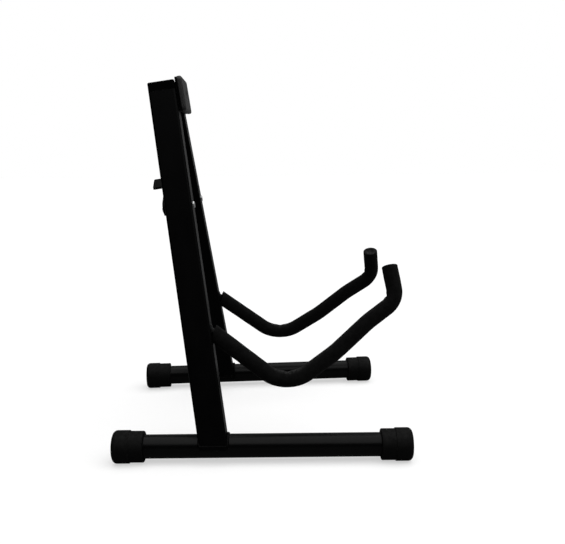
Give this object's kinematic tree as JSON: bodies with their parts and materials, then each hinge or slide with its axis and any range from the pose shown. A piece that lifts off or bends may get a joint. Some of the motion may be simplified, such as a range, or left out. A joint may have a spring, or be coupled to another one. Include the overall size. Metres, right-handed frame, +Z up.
{
  "type": "guitar stand",
  "caption": "Folding A-frame floor stand for a guitar: splayed tube legs on long base tubes, foam-covered cradle arms, a padded head plate and a riveted folding spreader.",
  "frame": {"origin": "on the floor, at the middle of the bounding box's base", "axes": "+Z up, front of the stand (the side with the arms) towards -Y, +X to the right seen from the front; X = 0 is the plane of symmetry"},
  "size_m": [0.3242, 0.3157, 0.4078],
  "materials": {
    "satin_black_paint": "satin black powder coat on steel",
    "gloss_black_paint": "gloss black powder coat on steel",
    "black_rubber": "matte moulded black rubber",
    "black_foam": "matte closed-cell black foam",
    "black_plastic": "matte black moulded plastic",
    "zinc_steel": "bright zinc-plated steel"
  },
  "bodies": {
    "head": {"hinge_plate": "satin_black_paint", "top_pad": "black_rubber", "pad_screw": "zinc_steel", "pad_nut": "zinc_steel", "right_hinge_rivet": "zinc_steel", "left_hinge_rivet": "zinc_steel", "right_hinge_washer": "black_plastic", "left_hinge_washer": "black_plastic"},
    "left_leg": {"left_leg_tube": "satin_black_paint", "left_leg_plug": "black_plastic", "left_base_tube": "gloss_black_paint", "left_foot_weld": "satin_black_paint", "left_front_cap": "black_rubber", "left_rear_cap": "black_rubber", "left_arm_rod": "gloss_black_paint", "left_arm_weld": "gloss_black_paint", "left_arm_foam": "black_foam", "left_link_rivet": "zinc_steel"},
    "right_leg": {"right_leg_tube": "satin_black_paint", "right_leg_plug": "black_plastic", "right_base_tube": "gloss_black_paint", "right_foot_weld": "satin_black_paint", "right_front_cap": "black_rubber", "right_rear_cap": "black_rubber", "right_arm_rod": "gloss_black_paint", "right_arm_weld": "gloss_black_paint", "right_arm_foam": "black_foam", "right_link_spacer": "black_plastic", "right_link_rivet": "zinc_steel"},
    "left_link": {"left_link": "satin_black_paint"},
    "right_link": {"right_link": "satin_black_paint", "centre_rivet": "zinc_steel", "centre_washer": "zinc_steel"}
  },
  "joints": [
    {"name": "left_leg_fold", "type": "hinge", "parent": "head", "child": "left_leg", "pos_m": [-0.0312, 0.10244, 0.37845], "axis": [0, -0.99, 0.1409], "range_deg": [0, 15.4]},
    {"name": "right_leg_fold", "type": "hinge", "parent": "head", "child": "right_leg", "pos_m": [0.0312, 0.10244, 0.37845], "axis": [0, 0.99, -0.1409], "range_deg": [0, 15.4]},
    {"name": "left_link_pivot", "type": "hinge", "parent": "left_leg", "child": "left_link", "pos_m": [-0.06442, 0.08622, 0.2645], "axis": [0, -0.99, 0.1409], "range_deg": [0, 26.15]},
    {"name": "right_link_pivot", "type": "hinge", "parent": "right_leg", "child": "right_link", "pos_m": [0.06442, 0.08622, 0.2645], "axis": [0, 0.99, -0.1409], "range_deg": [0, 26.15]}
  ],
  "couplings": [
    {"joint": "right_leg_fold", "follows": "left_leg_fold", "ratio": 1},
    {"joint": "left_link_pivot", "follows": "left_leg_fold", "ratio": 1.6978},
    {"joint": "right_link_pivot", "follows": "left_leg_fold", "ratio": 1.6978}
  ]
}
